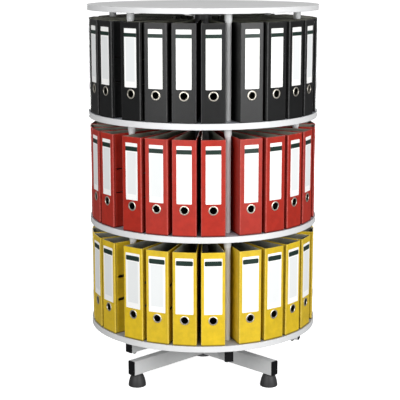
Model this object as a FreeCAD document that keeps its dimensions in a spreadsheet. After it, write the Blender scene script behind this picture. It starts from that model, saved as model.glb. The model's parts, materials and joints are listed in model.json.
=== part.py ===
import FreeCAD, Part
import os
import re
import Sketcher

# A rotary filing column: three round shelves of lever arch files that turn together on a fixed cross foot.
# Millimetres, +Z up. The origin is on the floor, on the column's axis. The front is -Y.

SIZES = [
    # name, value
    # The fixed foot: two crossed tubes on four levelling glides
    ("footTurn", 45.0),              # the first foot tube, from +X
    ("footReach", 350.0),            # axis to the end of an arm
    ("tubeWidth", 30.0),
    ("tubeHeight", 50.0),
    ("tubeWall", 2.0),
    ("tubeCorner", 2.5),
    ("capFace", 3.0),                # plastic end cap: the part outside the tube
    ("capPlug", 12.0),
    ("capPlugWall", 2.0),
    ("capFit", 0.15),
    ("glideHeight", 43.0),
    ("glideTopDiameter", 33.0),
    ("glideFootDiameter", 61.0),
    ("glideLip", 4.0),               # upright rim above the floor
    ("glideRound", 1.5),
    ("stemDiameter", 10.0),
    ("stemSunk", 24.0),              # depth of the stem inside the glide
    ("stemSpare", 8.0),              # between the stem's top and the tube's roof
    ("stemHole", 1.0),               # more than the stem, across the tube's floor
    ("threadGap", 0.05),
    ("nutHeight", 12.0),
    ("nutDiameter", 20.0),
    ("plugToNut", 2.0),              # from an end cap's plug to the bush inside the arm
    # The spindle and its thrust bearing
    ("spindleDiameter", 20.0),
    ("spindleTop", 12.0),            # of the spindle above its collar
    ("hubPlateDiameter", 65.0),
    ("hubPlateThickness", 6.0),
    ("seatFit", 0.02),               # radial, pieces pressed or welded in place
    ("runningGap", 0.05),            # radial, pieces that turn
    ("raceDiameter", 110.0),
    ("raceThickness", 11.0),
    ("grooveDepth", 2.0),
    ("ballDiameter", 14.0),
    ("ballCircle", 82.0),
    ("ballCount", 12.0),
    ("cageThickness", 3.0),
    ("cageBand", 22.0),              # width of the cage's ring
    ("hubSpare", 2.0),               # more than the tubes need side by side round the hub
    ("sleeveDiameter", 36.0),
    ("sleeveLength", 150.0),         # above the lowest shelf
    ("collarDiameter", 40.0),
    ("collarHeight", 12.0),
    ("collarGap", 0.3),
    # The turning carrier and shelves
    ("columnTurn", 14.2),            # the first post, from the front towards +X
    ("rodToPlug", 11.0),             # from a tie rod's axis to the end cap's plug
    ("shelfRadius", 400.0),
    ("shelfThickness", 20.0),
    ("topThickness", 18.0),
    ("edgeBand", 1.5),
    ("edgeRound", 0.8),
    ("postInset", 69.0),             # board's edge to the posts' centres
    ("postDiameter", 20.0),
    ("postWall", 2.0),
    ("postCollarDiameter", 25.0),    # white socket under each board, round a post's head
    ("postCollarHeight", 31.0),
    ("postCollarTaper", 8.0),
    ("postCollarLip", 0.8),          # wall left at the taper's lower end
    ("coreDiameter", 60.0),
    ("coreWall", 2.0),
    ("rodDiameter", 8.0),
    ("rodHole", 0.4),                # more than the rod, across a hole
    ("rodNutAcross", 13.0),
    ("rodNutHeight", 6.5),
    ("rodBelowNut", 3.0),
    ("insertDiameter", 12.0),
    ("insertCover", 4.0),            # wood left above a threaded insert
    # A lever arch file, standing with its spine outwards
    ("fileSetback", 6.0),            # board's edge to the middle of a spine
    ("postSpace", 4.8),              # degrees left free for a post between two groups
    ("headroom", 32.8),              # above the files of the two lower tiers
    ("topHeadroom", 28.8),
    ("fileHeight", 318.0),
    ("fileDepth", 285.0),
    ("spineWidth", 80.0),
    ("innerGap", 1.2),               # from a file's narrow end to its sector's edge
    ("boardThickness", 2.5),
    ("hingeGap", 0.15),              # between the spine board and a cover board
    ("fileLift", 0.2),               # between a file's foot and its shelf
    ("labelWidth", 57.0),
    ("labelGap", 5.0),               # finger ring's rim to the label's foot
    ("labelDrop", 20.0),             # spine's top to label's top
    ("labelThickness", 0.4),
    ("ringHeight", 87.0),            # file's foot to the finger hole's centre
    ("ringHole", 22.0),
    ("ringDiameter", 32.0),
    ("ringFlange", 1.2),
    ("ringWall", 1.2),
    ("leverPlateDepth", 40.0),
    ("leverPlateHeight", 130.0),
    ("leverPlateThickness", 1.5),
    ("leverInset", 14.0),            # plate's edge behind the spine board
    ("archPitch", 80.0),
    ("archRadius", 17.0),
    ("archWire", 3.0),
    ("leverLength", 60.0),
]

# Tier, and the place (0 to 3) of the one file in it that is modelled as free to pull out
TIERS = [("lower", 1), ("middle", 2), ("upper", 3)]
FREE_SECTOR = 5
SECTORS = 6
FILES_PER_SECTOR = 4
ARMS = 4
FULL_TURN = 360
HAIR = 0.01                          # two lengths closer than this are the same

# Sizes that follow from the ones above
WORKED_OUT = {
    "sectorTurn": f"({FULL_TURN} / {SECTORS})",
    "glideRadius": "(footReach - capFace - capPlug - plugToNut - nutDiameter / 2)",
    "stemLength": "(stemSunk + tubeHeight - tubeWall - stemSpare)",
    "bearingHeight": "(2 * raceThickness + ballDiameter - 2 * grooveDepth)",
    "hubDiameter": f"(tubeWidth / sin({FULL_TURN} / {SECTORS} / 2) + hubSpare)",
    "postRadius": "(shelfRadius - postInset)",
    "carrierReach": "(shelfRadius - postInset + rodToPlug + capPlug + capFace)",
    "tierHeight": "(fileHeight + fileLift + headroom)",
    "topTierHeight": "(fileHeight + fileLift + topHeadroom)",
    "insertDepth": "(topThickness - insertCover)",
    "fileRadius": "(shelfRadius - fileSetback)",
    "fileStep": f"(({FULL_TURN} / {SECTORS} - postSpace) / {FILES_PER_SECTOR})",
    "labelHeight": "(fileHeight - labelDrop - ringHeight - ringDiameter / 2 - labelGap)",
    "innerWidth": "(2 * ((fileRadius - fileDepth) * tan(fileStep / 2) - innerGap))",
}

NAMES = {name for name, _ in SIZES} | set(WORKED_OUT)
AXIS_Z = FreeCAD.Vector(0, 0, 1)

doc = FreeCAD.newDocument("RotaryFilingColumn")
pieces = []


# ---- Sizes and expressions ----

def fill_sheet():
    sheet = doc.addObject("Spreadsheet::Sheet", "Sizes")
    rows = [(name, str(amount)) for name, amount in SIZES]
    rows += [(name, f"={formula}") for name, formula in WORKED_OUT.items()]
    for row, (name, content) in enumerate(rows, 1):
        sheet.set(f"A{row}", name)
        sheet.setAlias(f"B{row}", name)
        sheet.set(f"B{row}", content)
    doc.recompute()
    return sheet


def linked(text):
    """An expression with the name of each size pointed at the sheet."""
    return re.sub(r"[A-Za-z]\w*", lambda w: "Sizes." + w.group() if w.group() in NAMES else w.group(), text)


def bind(thing, **expressions):
    """Ties properties of an object to sizes: bind(pad, Length="tubeWidth / 2")."""
    for name, text in expressions.items():
        thing.setExpression(name.replace("_", "."), linked(text))


def number(text):
    result = sheet.evalExpression(linked(text))
    return float(getattr(result, "Value", result))


def place(thing, x="0", y="0", z="0", turn="0"):
    """Puts an object at x, y, z, turned about Z, all given as expressions."""
    thing.Placement = FreeCAD.Placement(
        FreeCAD.Vector(number(x), number(y), number(z)), FreeCAD.Rotation(AXIS_Z, number(turn)))
    bind(thing, Placement_Base_x=x, Placement_Base_y=y, Placement_Base_z=z)
    if turn != "0":
        bind(thing, Placement_Rotation_Angle=turn)


# ---- PartDesign helpers ----

def new_body(name):
    body = doc.addObject("PartDesign::Body", name)
    body.Label = name
    body.AllowCompound = True
    return body


def origin_item(body, role):
    return next(item for item in body.Origin.OriginFeatures if item.Role == role)


def new_sketch(body, plane, offset="0"):
    """A sketch on one of the body's own origin planes, moved along the plane's normal."""
    sketch = body.newObject("Sketcher::SketchObject", "Sketch")
    sketch.AttachmentSupport = (origin_item(body, plane), [""])
    sketch.MapMode = "FlatFace"
    bind(sketch, AttachmentOffset_Base_z=offset)
    return sketch


def fix(sketch, kind, *where, to):
    """Adds a dimension to a sketch and ties it to an expression."""
    added = sketch.addConstraint(Sketcher.Constraint(kind, *where, number(to)))
    sketch.setExpression(f"Constraints[{added}]", linked(to))


def draw_outline(sketch, *corners):
    """Closed straight outline through corners, each an (x, y) pair of expressions."""
    points = [FreeCAD.Vector(number(x), number(y), 0) for x, y in corners]
    lines = [
        sketch.addGeometry(Part.LineSegment(start, end))
        for start, end in zip(points, points[1:] + points[:1])
    ]
    for line, following in zip(lines, lines[1:] + lines[:1]):
        sketch.addConstraint(Sketcher.Constraint("Coincident", line, 2, following, 1))
    for line, (x, y) in zip(lines, corners):
        fix(sketch, "DistanceX", line, 1, to=x)
        fix(sketch, "DistanceY", line, 1, to=y)


def draw_rectangle(sketch, width, height, x="0", y="0"):
    """A rectangle with its centre at x, y."""
    draw_outline(
        sketch,
        (f"{x} - {width} / 2", f"{y} - {height} / 2"),
        (f"{x} + {width} / 2", f"{y} - {height} / 2"),
        (f"{x} + {width} / 2", f"{y} + {height} / 2"),
        (f"{x} - {width} / 2", f"{y} + {height} / 2"),
    )


def draw_circle(sketch, diameter, x="0", y="0"):
    centre = FreeCAD.Vector(number(x), number(y), 0)
    circle = sketch.addGeometry(Part.Circle(centre, AXIS_Z, number(f"({diameter}) / 2")))
    fix(sketch, "DistanceX", circle, 3, to=x)
    fix(sketch, "DistanceY", circle, 3, to=y)
    fix(sketch, "Radius", circle, to=f"({diameter}) / 2")


def pad(body, sketch, length):
    feature = body.newObject("PartDesign::Pad", "Pad")
    feature.Profile = sketch
    bind(feature, Length=length)
    doc.recompute()
    return feature


def pocket(body, sketch, length=None, down=True):
    """Cuts the sketch's shape away, through everything or to a depth, and makes sure that it cut."""
    before = body.Shape.Volume
    feature = body.newObject("PartDesign::Pocket", "Pocket")
    feature.Profile = sketch
    feature.Reversed = not down
    if length is None:
        feature.Type = "ThroughAll"
        feature.Midplane = True
    else:
        bind(feature, Length=length)
    doc.recompute()
    if body.Shape.Volume >= before:
        raise RuntimeError(f"a pocket of {body.Label} cuts nothing")
    return feature


def revolve(body, sketch, kind="PartDesign::Revolution"):
    """Turns the sketch about its own vertical axis, as metal or as a cut."""
    feature = body.newObject(kind, kind.split("::")[1])
    feature.Profile = sketch
    feature.ReferenceAxis = (sketch, ["V_Axis"])
    feature.Angle = FULL_TURN
    doc.recompute()
    return feature


def round_edges(body, radius, wanted, kind="PartDesign::Fillet"):
    """Rounds the edges of the body's tip that the wanted test picks."""
    tip = body.Tip
    picked = [f"Edge{i}" for i, edge in enumerate(tip.Shape.Edges, 1) if wanted(edge)]
    feature = body.newObject(kind, kind.split("::")[1])
    feature.Base = (tip, picked)
    bind(feature, Radius=radius)
    doc.recompute()
    return feature


def ring_of(body, count):
    """Repeats the whole body evenly about Z."""
    feature = body.newObject("PartDesign::PolarPattern", "PolarPattern")
    feature.TransformMode = "Whole shape"
    feature.Axis = (origin_item(body, "Z_Axis"), [""])
    feature.Angle = FULL_TURN
    feature.Occurrences = count
    body.Tip = feature
    doc.recompute()


def keep(piece, z="0", turn="0"):
    """Marks a sub-part for writing, at its height and turn."""
    place(piece, z=z, turn=turn)
    pieces.append(piece)


def copy_of(master, x, y, z, turn):
    link = doc.addObject("App::Link", f"{master.Name}_copy")
    link.LinkedObject = master
    place(link, x, y, z, turn)
    return link


def keep_group(name, solids):
    """One sub-part made of several separate solids, marked for writing."""
    group = doc.addObject("Part::Compound", name)
    group.Label = name
    group.Links = solids
    pieces.append(group)


def copies(name, master, places):
    """One sub-part made of copies of a master, each at an (x, y, z, turn) of expressions."""
    keep_group(name, [copy_of(master, *spot) for spot in places])


# ---- Heights and turns that several sub-parts share ----

FOOT_TOP = "(glideHeight + tubeHeight)"
FOOT_MIDDLE = "(glideHeight + tubeHeight / 2)"
CARRIER_FOOT = f"({FOOT_TOP} + bearingHeight)"
BALL_LEVEL = f"({FOOT_TOP} + bearingHeight / 2)"
SHELF_FOOT = {
    "lower": f"({CARRIER_FOOT} + tubeHeight)",
    "middle": f"({CARRIER_FOOT} + tubeHeight + shelfThickness + tierHeight)",
    "upper": f"({CARRIER_FOOT} + tubeHeight + 2 * shelfThickness + 2 * tierHeight)",
}
SHELF_TOP = {tier: f"({foot} + shelfThickness)" for tier, foot in SHELF_FOOT.items()}
TIER_HEIGHT = {"lower": "tierHeight", "middle": "tierHeight", "upper": "topTierHeight"}
TOP_FOOT = f"({SHELF_TOP['upper']} + topTierHeight)"
SLEEVE_TOP = f"({SHELF_TOP['lower']} + sleeveLength)"
FIRST_POST = "(columnTurn - 90)"
ROD_FOOT = f"({CARRIER_FOOT} - rodNutHeight - rodBelowNut)"
ROD_TOP = f"({TOP_FOOT} + insertDepth)"


def file_turn(sector, place_in_sector):
    """The direction of one file: sectors lie between the posts, files side by side in a sector."""
    middle = (FILES_PER_SECTOR - 1) / 2
    return (f"{FIRST_POST} + sectorTurn * ({sector} + 0.5)"
            f" + fileStep * ({place_in_sector} - {middle})")


# ---- Tubes and end caps, used by the foot and by the carrier ----

def tube_profile(body, start):
    """Rectangular tube's section, looking along the tube."""
    sketch = new_sketch(body, "YZ_Plane", start)
    draw_rectangle(sketch, "tubeWidth", "tubeHeight")
    return sketch


def lies_along_x(edge):
    ends = [vertex.Point for vertex in edge.Vertexes]
    return len(ends) == 2 and abs(ends[0].y - ends[1].y) < HAIR and abs(ends[0].z - ends[1].z) < HAIR


def new_tube(name, start, length):
    """A hollow tube along X with rounded outer corners, centred on the body's own X axis."""
    body = new_body(name)
    pad(body, tube_profile(body, start), length)
    round_edges(body, "tubeCorner", lies_along_x)
    hollow = new_sketch(body, "YZ_Plane", start)
    draw_rectangle(hollow, "(tubeWidth - 2 * tubeWall)", "(tubeHeight - 2 * tubeWall)")
    pocket(body, hollow, length, down=False)
    return body


def drill_tube(body, diameter, x="0", floor_only=False):
    """A round upright hole through both walls of a tube, or through its floor alone."""
    sketch = new_sketch(body, "XY_Plane", "0")
    draw_circle(sketch, diameter, x)
    if floor_only:
        pocket(body, sketch, "tubeHeight")
    else:
        pocket(body, sketch)


def end_caps(name, reach, count, z, turn):
    """Plastic caps: a face over the tube's end, and a hollow plug inside the tube."""
    body = new_body(name)
    pad(body, tube_profile(body, f"{reach} - capFace"), "capFace")
    round_edges(body, "tubeCorner", lies_along_x)
    plug = new_sketch(body, "YZ_Plane", f"{reach} - capFace - capPlug")
    draw_rectangle(plug, "(tubeWidth - 2 * tubeWall - 2 * capFit)", "(tubeHeight - 2 * tubeWall - 2 * capFit)")
    pad(body, plug, "capPlug")
    hollow = new_sketch(body, "YZ_Plane", f"{reach} - capFace - capPlug")
    shell = "2 * tubeWall - 2 * capFit - 2 * capPlugWall"
    draw_rectangle(hollow, f"(tubeWidth - {shell})", f"(tubeHeight - {shell})")
    pocket(body, hollow, "capPlug", down=False)
    ring_of(body, count)
    keep(body, z, turn)


# ---- The fixed foot ----

def foot_tubes():
    reach = "(footReach - capFace)"
    through = new_tube("foot_through_tube", f"-{reach}", f"2 * {reach}")
    drill_tube(through, "spindleDiameter + 2 * seatFit")
    drill_tube(through, "stemDiameter + stemHole", "glideRadius", floor_only=True)
    drill_tube(through, "stemDiameter + stemHole", "0 - glideRadius", floor_only=True)
    keep(through, FOOT_MIDDLE, "footTurn")
    side = new_tube("foot_side_tubes", "tubeWidth / 2", f"{reach} - tubeWidth / 2")
    drill_tube(side, "stemDiameter + stemHole", "glideRadius", floor_only=True)
    ring_of(side, ARMS // 2)
    keep(side, FOOT_MIDDLE, "footTurn + 90")


def glide_nuts():
    """Threaded bushes welded inside the arms, above each glide."""
    body = new_body("glide_nuts")
    sketch = new_sketch(body, "XY_Plane")
    draw_circle(sketch, "nutDiameter", "glideRadius")
    draw_circle(sketch, "stemDiameter + 2 * threadGap", "glideRadius")
    pad(body, sketch, "nutHeight")
    ring_of(body, ARMS)
    keep(body, "glideHeight + tubeWall", "footTurn")


def glide_body(name):
    """A bell-shaped plastic glide, wide at the floor, with a blind hole for its stem."""
    body = new_body(name)
    sketch = new_sketch(body, "XZ_Plane")
    draw_outline(
        sketch,
        ("0", "0"),
        ("glideFootDiameter / 2", "0"),
        ("glideFootDiameter / 2", "glideLip"),
        ("glideTopDiameter / 2", "glideHeight"),
        ("0", "glideHeight"),
    )
    revolve(body, sketch)
    round_edges(body, "glideRound", lambda edge: len(edge.Vertexes) == 1)
    hole = new_sketch(body, "XY_Plane", "glideHeight")
    draw_circle(hole, "stemDiameter + 2 * seatFit")
    pocket(body, hole, "stemSunk")
    return body


def glides():
    """Four glides, each on its own threaded stem, so that each can be screwed down."""
    pad_master = glide_body("GlideMaster")
    stem_master = doc.addObject("Part::Cylinder", "StemMaster")
    bind(stem_master, Radius="stemDiameter / 2", Height="stemLength")
    for arm, corner in enumerate(("back_right", "back_left", "front_left", "front_right")):
        turn = f"(footTurn + {arm * FULL_TURN // ARMS})"
        x = f"glideRadius * cos({turn})"
        y = f"glideRadius * sin({turn})"
        copies(f"glide_{corner}", pad_master, [(x, y, "0", "0")])
        copies(f"glide_stem_{corner}", stem_master, [(x, y, "glideHeight - stemSunk", "0")])


def turned_ring(name, outer, inner, height):
    """A plain turned ring standing on the body's XY plane."""
    body = new_body(name)
    sketch = new_sketch(body, "XY_Plane")
    draw_circle(sketch, outer)
    draw_circle(sketch, inner)
    pad(body, sketch, height)
    return body


def spindle():
    """The fixed upright shaft, the plate under the cross that it is welded to, and its top collar."""
    plate = turned_ring("hub_plate", "hubPlateDiameter", "spindleDiameter + 2 * seatFit", "hubPlateThickness")
    keep(plate, "glideHeight - hubPlateThickness")
    shaft = doc.addObject("Part::Cylinder", "spindle")
    shaft.Label = "spindle"
    foot = "(glideHeight - hubPlateThickness)"
    top = f"({SLEEVE_TOP} + collarGap + collarHeight + spindleTop)"
    bind(shaft, Radius="spindleDiameter / 2", Height=f"{top} - {foot}")
    keep(shaft, foot)
    collar = turned_ring("spindle_collar", "collarDiameter", "spindleDiameter + 2 * seatFit", "collarHeight")
    keep(collar, f"{SLEEVE_TOP} + collarGap")


# ---- The thrust bearing ----

def bearing_race(name, z, bore):
    """A flat race with a ball groove, drawn about the level of the balls' centres."""
    body = new_body(name)
    blank = new_sketch(body, "XZ_Plane")
    draw_outline(
        blank,
        (f"({bore}) / 2", z),
        ("raceDiameter / 2", z),
        ("raceDiameter / 2", f"{z} + raceThickness"),
        (f"({bore}) / 2", f"{z} + raceThickness"),
    )
    revolve(body, blank)
    groove = new_sketch(body, "XZ_Plane")
    draw_circle(groove, "ballDiameter + 2 * runningGap", "ballCircle / 2")
    revolve(body, groove, "PartDesign::Groove")
    keep(body, BALL_LEVEL)


def bearing():
    bearing_race("bearing_lower_race", "(0 - bearingHeight / 2)", "spindleDiameter + 2 * seatFit")
    bearing_race("bearing_upper_race", "(bearingHeight / 2 - raceThickness)", "spindleDiameter + 2 * runningGap")
    cage = new_body("ball_cage")
    band = new_sketch(cage, "XY_Plane", "0 - cageThickness / 2")
    draw_circle(band, "ballCircle + cageBand")
    draw_circle(band, "ballCircle - cageBand")
    pad(cage, band, "cageThickness")
    balls = int(number("ballCount"))
    hole = new_sketch(cage, "XY_Plane")
    for ball in range(balls):
        angle = f"({FULL_TURN} * {ball} / ballCount)"
        draw_circle(hole, "ballDiameter + 2 * runningGap", f"ballCircle / 2 * cos({angle})",
                    f"ballCircle / 2 * sin({angle})")
    pocket(cage, hole)
    keep(cage, BALL_LEVEL)
    ball_master = doc.addObject("Part::Sphere", "BallMaster")
    bind(ball_master, Radius="ballDiameter / 2")
    spots = []
    for ball in range(balls):
        angle = f"({FULL_TURN} * {ball} / ballCount)"
        spots.append((f"ballCircle / 2 * cos({angle})", f"ballCircle / 2 * sin({angle})", BALL_LEVEL, "0"))
    copies("bearing_balls", ball_master, spots)


# ---- The turning carrier ----

def hub():
    """Turned hub that the carrier tubes are welded to, with a long sleeve up the spindle."""
    body = new_body("carrier_hub")
    sketch = new_sketch(body, "XZ_Plane")
    bore = "(spindleDiameter / 2 + runningGap)"
    shoulder = "(tubeHeight + shelfThickness)"
    draw_outline(
        sketch,
        (bore, "0"),
        ("hubDiameter / 2", "0"),
        ("hubDiameter / 2", shoulder),
        ("sleeveDiameter / 2", shoulder),
        ("sleeveDiameter / 2", f"{shoulder} + sleeveLength"),
        (bore, f"{shoulder} + sleeveLength"),
    )
    revolve(body, sketch)
    keep(body, CARRIER_FOOT)


def carrier_tubes():
    """Six radial tubes, coped to the hub, each drilled for a tie rod."""
    start = "(sqrt(hubDiameter ^ 2 - tubeWidth ^ 2) / 2)"
    body = new_tube("carrier_tubes", start, f"carrierReach - capFace - {start}")
    cope = new_sketch(body, "XY_Plane")
    draw_circle(cope, "hubDiameter + 2 * seatFit")
    pocket(body, cope)
    drill_tube(body, "rodDiameter + rodHole", "postRadius")
    ring_of(body, SECTORS)
    keep(body, f"{CARRIER_FOOT} + tubeHeight / 2", FIRST_POST)


def post_spots(z):
    """The six places round the column where a post or a rod stands."""
    spots = []
    for sector in range(SECTORS):
        angle = f"({FIRST_POST} + sectorTurn * {sector})"
        spots.append((f"postRadius * cos({angle})", f"postRadius * sin({angle})", z, "0"))
    return spots


def disc(name, thickness, z, bore=None, blind=None):
    """A round board, drilled for the tie rods, with its edge strip left off."""
    body = new_body(name)
    outline = new_sketch(body, "XY_Plane")
    draw_circle(outline, "2 * (shelfRadius - edgeBand)")
    pad(body, outline, thickness)
    holes = new_sketch(body, "XY_Plane")
    hole_size = "rodDiameter + rodHole" if blind is None else "insertDiameter + 2 * seatFit"
    for sector in range(SECTORS):
        angle = f"(sectorTurn * {sector})"
        draw_circle(holes, hole_size, f"postRadius * cos({angle})", f"postRadius * sin({angle})")
    if blind is None:
        pocket(body, holes)
    else:
        pocket(body, holes, blind, down=False)
    if bore is not None:
        middle = new_sketch(body, "XY_Plane")
        draw_circle(middle, bore)
        pocket(body, middle)
    keep(body, z, FIRST_POST)


def edge_strip(name, thickness):
    """A strip round a board's edge, its two outer edges softened."""
    body = new_body(name)
    sketch = new_sketch(body, "XZ_Plane")
    draw_outline(
        sketch,
        ("shelfRadius - edgeBand", "0"),
        ("shelfRadius", "0"),
        ("shelfRadius", thickness),
        ("shelfRadius - edgeBand", thickness),
    )
    revolve(body, sketch)
    outer = number("shelfRadius")
    round_edges(body, "edgeRound", lambda edge: len(edge.Vertexes) == 1 and edge.BoundBox.XMax > outer - HAIR)
    return body


def shelves():
    disc("shelf_lower", "shelfThickness", SHELF_FOOT["lower"], bore="hubDiameter + 2 * seatFit")
    for tier in ("middle", "upper"):
        disc(f"shelf_{tier}", "shelfThickness", SHELF_FOOT[tier])
    disc("top_disc", "topThickness", TOP_FOOT, blind="insertDepth")
    strip = edge_strip("EdgeStripMaster", "shelfThickness")
    copies("shelf_edge_strips", strip, [("0", "0", foot, "0") for foot in SHELF_FOOT.values()])
    keep(edge_strip("top_edge_strip", "topThickness"), TOP_FOOT)


def tube_master(name, outer, wall, height):
    body = new_body(name)
    sketch = new_sketch(body, "XY_Plane")
    draw_circle(sketch, outer)
    draw_circle(sketch, f"{outer} - 2 * {wall}")
    pad(body, sketch, height)
    return body


def posts():
    """Tube posts between the shelves, and a core tube in the middle of each tier."""
    cores = []
    for tier, _ in TIERS:
        post = tube_master(f"PostMaster_{tier}", "postDiameter", "postWall", TIER_HEIGHT[tier])
        copies(f"posts_{tier}", post, post_spots(SHELF_TOP[tier]))
        core = tube_master(f"CoreMaster_{tier}", "coreDiameter", "coreWall", TIER_HEIGHT[tier])
        cores.append(copy_of(core, "0", "0", SHELF_TOP[tier], "0"))
    keep_group("core_tubes", cores)


def post_collars():
    """Sockets round the heads of the posts, tapered at their lower ends."""
    body = new_body("PostCollarMaster")
    sketch = new_sketch(body, "XZ_Plane")
    bore = "(postDiameter / 2 + seatFit)"
    draw_outline(
        sketch,
        (bore, "0"),
        (f"{bore} + postCollarLip", "0"),
        ("postCollarDiameter / 2", "postCollarTaper"),
        ("postCollarDiameter / 2", "postCollarHeight"),
        (bore, "postCollarHeight"),
    )
    revolve(body, sketch)
    heads = [f"({SHELF_TOP[tier]} + {TIER_HEIGHT[tier]} - postCollarHeight)" for tier, _ in TIERS]
    copies("post_collars", body, [spot for head in heads for spot in post_spots(head)])


def tie_rods():
    """Rods that clamp carrier, posts and boards together, with nuts below and threaded inserts above."""
    rod = doc.addObject("Part::Cylinder", "RodMaster")
    bind(rod, Radius="rodDiameter / 2", Height=f"{ROD_TOP} - {ROD_FOOT}")
    copies("tie_rods", rod, post_spots(ROD_FOOT))
    nut = new_body("NutMaster")
    sketch = new_sketch(nut, "XY_Plane")
    corner = "rodNutAcross / 2 / cos(30)"
    draw_outline(sketch, *[(f"{corner} * cos({60 * i})", f"{corner} * sin({60 * i})") for i in range(6)])
    draw_circle(sketch, "rodDiameter + 2 * threadGap")
    pad(nut, sketch, "rodNutHeight")
    copies("rod_nuts", nut, post_spots(f"{CARRIER_FOOT} - rodNutHeight"))
    insert = tube_master("InsertMaster", "insertDiameter", "((insertDiameter - rodDiameter) / 2 - threadGap)",
                         "insertDepth")
    copies("rod_inserts", insert, post_spots(TOP_FOOT))


# ---- The lever arch files ----

def spine_board():
    """The outer board of a file, with its finger hole."""
    body = new_body("SpineMaster")
    sketch = new_sketch(body, "XY_Plane")
    draw_rectangle(sketch, "boardThickness", "spineWidth", "fileRadius - boardThickness / 2")
    pad(body, sketch, "fileHeight")
    hole = new_sketch(body, "YZ_Plane")
    draw_circle(hole, "ringHole + 2 * ringWall + 2 * seatFit", "0", "ringHeight")
    pocket(body, hole)
    return body


def cover_boards():
    """The two side boards of a file, which close up towards the column's axis."""
    body = new_body("CoversMaster")
    sketch = new_sketch(body, "XY_Plane")
    front = "(fileRadius - boardThickness - hingeGap)"
    back = "(fileRadius - fileDepth)"
    for side in ("1", "-1"):
        draw_outline(
            sketch,
            (front, f"{side} * spineWidth / 2"),
            (front, f"{side} * (spineWidth / 2 - boardThickness)"),
            (back, f"{side} * (innerWidth / 2 - boardThickness)"),
            (back, f"{side} * innerWidth / 2"),
        )
    pad(body, sketch, "fileHeight")
    return body


def spine_label():
    label = doc.addObject("Part::Box", "LabelMaster")
    bind(label, Length="labelThickness", Width="labelWidth", Height="labelHeight")
    place(label, "fileRadius", "0 - labelWidth / 2", "fileHeight - labelDrop - labelHeight")
    return wrapped(label, "LabelFrame")


def wrapped(solid, name):
    """A master whose own placement is inside it, so that copies of it turn about the column's axis."""
    frame = doc.addObject("Part::Compound", name)
    frame.Links = [solid]
    return frame


def finger_ring():
    """Pressed metal ring in the finger hole: a flange outside, and a short sleeve through the board."""
    body = new_body("FingerRingMaster")
    flange = new_sketch(body, "YZ_Plane", "fileRadius")
    draw_circle(flange, "ringDiameter", "0", "ringHeight")
    draw_circle(flange, "ringHole", "0", "ringHeight")
    pad(body, flange, "ringFlange")
    sleeve = new_sketch(body, "YZ_Plane", "fileRadius - boardThickness")
    draw_circle(sleeve, "ringHole + 2 * ringWall", "0", "ringHeight")
    draw_circle(sleeve, "ringHole", "0", "ringHeight")
    pad(body, sleeve, "boardThickness")
    return body


def lever_mechanism():
    """Plate on the inside of one cover, two wire arches and the lever, as one riveted unit."""
    middle = "fileHeight / 2"
    plate = doc.addObject("Part::Box", "LeverPlate")
    bind(plate, Length="leverPlateDepth", Width="leverPlateThickness", Height="leverPlateHeight")
    place(plate, "0 - leverPlateDepth", "0", f"{middle} - leverPlateHeight / 2")
    unit = [plate]
    for side in ("1", "-1"):
        arch = doc.addObject("Part::Torus", "Arch")
        bind(arch, Radius1="archRadius", Radius2="archWire / 2", Angle3="180")
        place(arch, "0 - leverPlateDepth / 2", "leverPlateThickness / 2", f"{middle} + {side} * archPitch / 2")
        unit.append(arch)
    lever = doc.addObject("Part::Cylinder", "Lever")
    bind(lever, Radius="archWire / 2", Height="leverLength")
    place(lever, "0 - leverPlateDepth / 2", "leverPlateThickness + archWire / 4",
          f"{middle} - leverLength / 2")
    unit.append(lever)
    joined = doc.addObject("Part::MultiFuse", "LeverUnit")
    joined.Shapes = unit
    slope = "(atan((spineWidth - innerWidth) / 2 / (fileDepth - boardThickness - hingeGap)) / 1deg)"
    inner_face = f"(0 - spineWidth / 2 + boardThickness / cos({slope}) + leverInset * tan({slope}))"
    place(joined, "fileRadius - boardThickness - leverInset", inner_face, "0", f"0 - {slope}")
    return wrapped(joined, "LeverFrame")


def files():
    """Every tier's files: the fixed ones grouped by what they are made of, the free one piece by piece."""
    masters = {
        "spine": spine_board(),
        "covers": cover_boards(),
        "label": spine_label(),
        "finger_ring": finger_ring(),
        "lever_mechanism": lever_mechanism(),
    }
    shared = {"label": [], "finger_ring": [], "lever_mechanism": []}
    for tier, free_place in TIERS:
        foot = f"{SHELF_TOP[tier]} + fileLift"
        fixed = [
            ("0", "0", foot, file_turn(sector, spot))
            for sector in range(SECTORS)
            for spot in range(FILES_PER_SECTOR)
            if (sector, spot) != (FREE_SECTOR, free_place)
        ]
        copies(f"file_spines_{tier}", masters["spine"], fixed)
        copies(f"file_covers_{tier}", masters["covers"], fixed)
        for spots in shared.values():
            spots.extend(fixed)
        free = [("0", "0", foot, file_turn(FREE_SECTOR, free_place))]
        for part, master in masters.items():
            copies(f"pull_file_{tier}_{part}", master, free)
    for part, spots in shared.items():
        copies(f"file_{part}s", masters[part], spots)


# ---- Build, check and write ----

def check():
    failed = [item.Label for item in doc.Objects if {"Invalid", "Error"} & set(item.State)]
    if failed:
        raise RuntimeError(f"objects that failed: {failed}")
    for piece in pieces:
        if piece.Shape.isNull() or not piece.Shape.isValid() or not piece.Shape.Solids:
            raise RuntimeError(f"{piece.Label} has no valid solid")


def write():
    os.makedirs("parts", exist_ok=True)
    for piece in pieces:
        piece.Shape.exportStep(f"parts/{piece.Label}.step")


sheet = fill_sheet()
foot_tubes()
end_caps("foot_end_caps", "footReach", ARMS, FOOT_MIDDLE, "footTurn")
glide_nuts()
glides()
spindle()
bearing()
hub()
carrier_tubes()
end_caps("carrier_end_caps", "carrierReach", SECTORS, f"{CARRIER_FOOT} + tubeHeight / 2", FIRST_POST)
shelves()
posts()
post_collars()
tie_rods()
files()
doc.recompute()
check()
write()
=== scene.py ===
import json
import math
import random

import bmesh
import bpy
from mathutils import Matrix, Vector


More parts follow.
